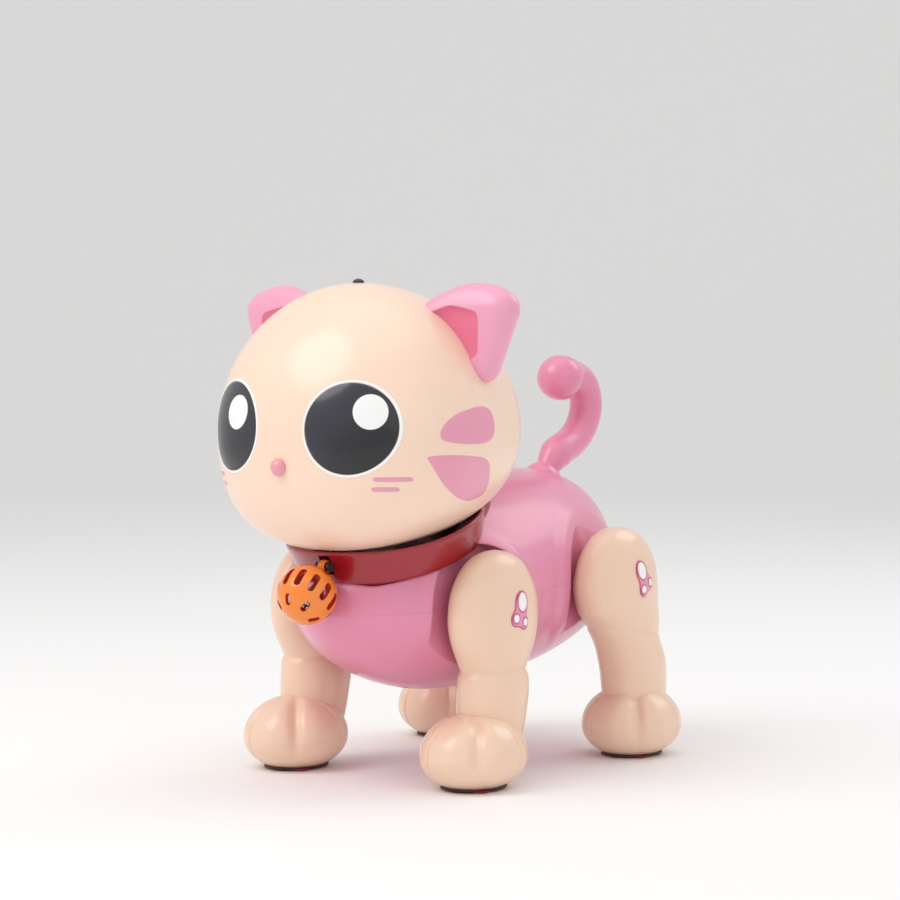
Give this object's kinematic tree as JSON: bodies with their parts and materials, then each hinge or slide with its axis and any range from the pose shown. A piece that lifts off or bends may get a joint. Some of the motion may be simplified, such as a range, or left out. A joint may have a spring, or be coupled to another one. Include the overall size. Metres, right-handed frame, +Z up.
{
  "type": "walking cat toy",
  "caption": "Four-legged electronic cat toy with swinging geared legs, turning round head, wagging hook tail, collar and hanging slotted bell.",
  "frame": {"origin": "on the floor under the middle of the overall box, between the feet", "axes": "+Z up, -Y the way the cat faces, +X its left side"},
  "size_m": [0.1388, 0.2241, 0.2006],
  "materials": {
    "pink_shell": "glossy moulded plastic",
    "cream_face": "glossy moulded plastic",
    "cream_leg": "glossy moulded plastic",
    "ear_pink": "glossy moulded plastic",
    "collar_red": "glossy moulded plastic",
    "bell_orange": "glossy moulded plastic",
    "eye_black": "glossy tinted lens",
    "eye_white": "glossy moulded plastic",
    "nose_pink": "glossy moulded plastic",
    "badge_pink": "glossy moulded plastic",
    "sole_rubber": "matte moulded rubber",
    "inner_plastic": "matte moulded plastic",
    "dark_plastic": "matte moulded plastic",
    "board_green": "coated board",
    "battery_wrap": "shrink wrap",
    "gear_white": "acetal",
    "steel": "plain steel"
  },
  "bodies": {
    "torso": {"body_upper_shell": "pink_shell", "body_lower_shell": "pink_shell", "drive_chassis": "inner_plastic", "motor_fl": "steel", "motor_fr": "steel", "motor_rl": "steel", "motor_rr": "steel", "main_circuit_board": "board_green", "battery_pack": "battery_wrap", "speaker": "dark_plastic", "charging_socket": "steel", "switch_housing": "dark_plastic", "neck_post": "inner_plastic", "neck_retainer": "steel", "collar": "collar_red", "bell_hook": "dark_plastic", "tail_bush": "inner_plastic", "body_screws": "steel"},
    "battery_hatch": {"battery_door": "pink_shell", "battery_door_screw": "steel"},
    "power_switch": {"power_slider": "dark_plastic"},
    "pinion_fl": {"pinion_fl": "gear_white"},
    "pinion_fr": {"pinion_fr": "gear_white"},
    "pinion_rl": {"pinion_rl": "gear_white"},
    "pinion_rr": {"pinion_rr": "gear_white"},
    "leg_fl": {"axle_fl": "steel", "leg_outer_fl": "cream_leg", "leg_inner_fl": "cream_leg", "sole_fl": "sole_rubber", "paw_badge_fl": "badge_pink"},
    "leg_fr": {"axle_fr": "steel", "leg_outer_fr": "cream_leg", "leg_inner_fr": "cream_leg", "sole_fr": "sole_rubber", "paw_badge_fr": "badge_pink"},
    "leg_rl": {"axle_rl": "steel", "leg_outer_rl": "cream_leg", "leg_inner_rl": "cream_leg", "sole_rl": "sole_rubber", "paw_badge_rl": "badge_pink"},
    "leg_rr": {"axle_rr": "steel", "leg_outer_rr": "cream_leg", "leg_inner_rr": "cream_leg", "sole_rr": "sole_rubber", "paw_badge_rr": "badge_pink"},
    "head": {"head_front_shell": "cream_face", "head_rear_shell": "cream_face", "left_ear": "ear_pink", "right_ear": "ear_pink", "left_eye_rim": "eye_white", "right_eye_rim": "eye_white", "left_eye_lens": "eye_black", "right_eye_lens": "eye_black", "nose": "nose_pink", "ir_receiver_dome": "dark_plastic", "eye_light_board": "board_green", "neck_bearing": "inner_plastic"},
    "bell": {"bell_cage": "bell_orange"},
    "jingle": {"jingle_ball": "steel"},
    "tail": {"tail": "pink_shell"}
  },
  "joints": [
    {"name": "swing_fl", "type": "hinge", "parent": "torso", "child": "leg_fl", "pos_m": [0, -0.03063, 0.0682], "axis": [1, 0, 0], "range_deg": [-30, 30]},
    {"name": "swing_fr", "type": "hinge", "parent": "torso", "child": "leg_fr", "pos_m": [0, -0.03063, 0.0682], "axis": [1, 0, 0], "range_deg": [-30, 30]},
    {"name": "swing_rl", "type": "hinge", "parent": "torso", "child": "leg_rl", "pos_m": [0, 0.05337, 0.0727], "axis": [1, 0, 0], "range_deg": [-30, 30]},
    {"name": "swing_rr", "type": "hinge", "parent": "torso", "child": "leg_rr", "pos_m": [0, 0.05337, 0.0727], "axis": [1, 0, 0], "range_deg": [-30, 30]},
    {"name": "pinion_spin_fl", "type": "hinge", "parent": "torso", "child": "pinion_fl", "pos_m": [0, -0.04993, 0.0682], "axis": [1, 0, 0], "range_deg": [-92, 92]},
    {"name": "pinion_spin_fr", "type": "hinge", "parent": "torso", "child": "pinion_fr", "pos_m": [0, -0.01133, 0.0682], "axis": [1, 0, 0], "range_deg": [-92, 92]},
    {"name": "pinion_spin_rl", "type": "hinge", "parent": "torso", "child": "pinion_rl", "pos_m": [0, 0.03407, 0.0727], "axis": [1, 0, 0], "range_deg": [-92, 92]},
    {"name": "pinion_spin_rr", "type": "hinge", "parent": "torso", "child": "pinion_rr", "pos_m": [0, 0.07267, 0.0727], "axis": [1, 0, 0], "range_deg": [-92, 92]},
    {"name": "head_turn", "type": "hinge", "parent": "torso", "child": "head", "pos_m": [0, -0.05063, 0.0766], "axis": [0, 0, 1], "range_deg": [-25, 25]},
    {"name": "tail_wag", "type": "hinge", "parent": "torso", "child": "tail", "pos_m": [0, 0.06937, 0.1142], "axis": [0, 0, 1], "range_deg": [-20, 20]},
    {"name": "bell_swing", "type": "hinge", "parent": "torso", "child": "bell", "pos_m": [0, -0.08113, 0.0877], "axis": [1, 0, 0], "range_deg": [-30, 0]},
    {"name": "jingle_roll", "type": "slide", "parent": "bell", "child": "jingle", "axis": [1, 0, 0], "range_m": [-0.0022, 0.0022]},
    {"name": "power_switch_slide", "type": "slide", "parent": "torso", "child": "power_switch", "axis": [1, 0, 0], "range_m": [0, 0.004]},
    {"name": "battery_door_lift", "type": "slide", "parent": "torso", "child": "battery_hatch", "axis": [0, 0, -1], "range_m": [0, 0.012]}
  ],
  "couplings": [
    {"joint": "pinion_spin_fl", "follows": "swing_fl", "ratio": -3},
    {"joint": "pinion_spin_fr", "follows": "swing_fr", "ratio": -3},
    {"joint": "pinion_spin_rl", "follows": "swing_rl", "ratio": -3},
    {"joint": "pinion_spin_rr", "follows": "swing_rr", "ratio": -3}
  ]
}
